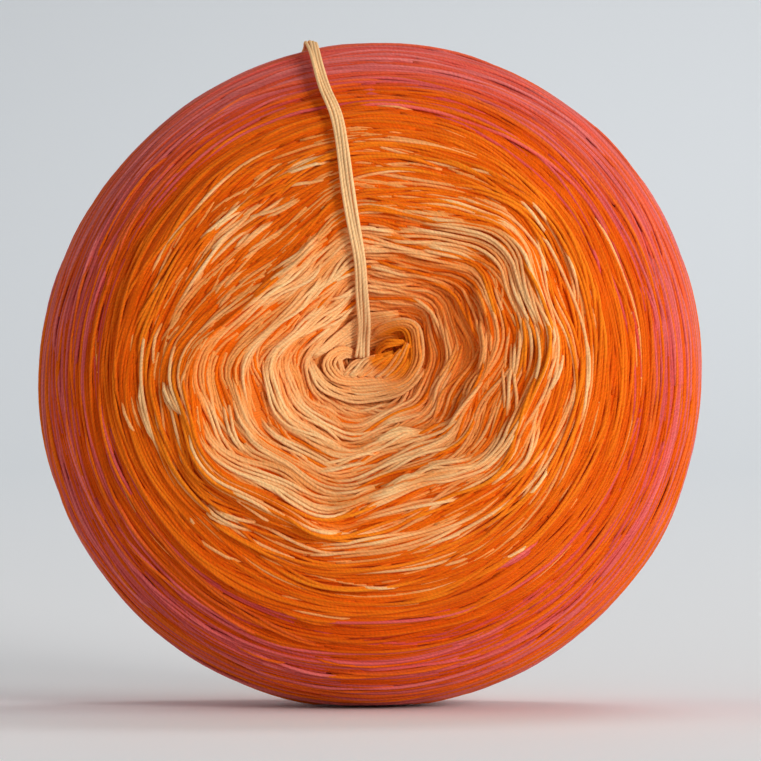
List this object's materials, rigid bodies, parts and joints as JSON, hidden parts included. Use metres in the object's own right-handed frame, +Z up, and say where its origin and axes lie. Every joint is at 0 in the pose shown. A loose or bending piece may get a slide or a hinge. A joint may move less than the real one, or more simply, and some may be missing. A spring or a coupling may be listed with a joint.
{
  "type": "yarn cake",
  "caption": "Round cake of gradient yarn wound from unplied threads, with dimpled faces, standing on its rim with its loose end laid over the top.",
  "frame": {"origin": "under the middle of the cake, on the surface that it rests on", "axes": "+Y along the cake's axis, from its front face to its back, +X to the right as seen from the front, +Z up"},
  "size_m": [0.1302, 0.0868, 0.1304],
  "materials": {
    "wound_yarn": "matt threads, peach in the middle, orange, then pink at the rim",
    "loose_yarn": "matt peach threads"
  },
  "bodies": {
    "root": {"yarn_cake": "wound_yarn", "loose_end": "loose_yarn"}
  },
  "joints": []
}
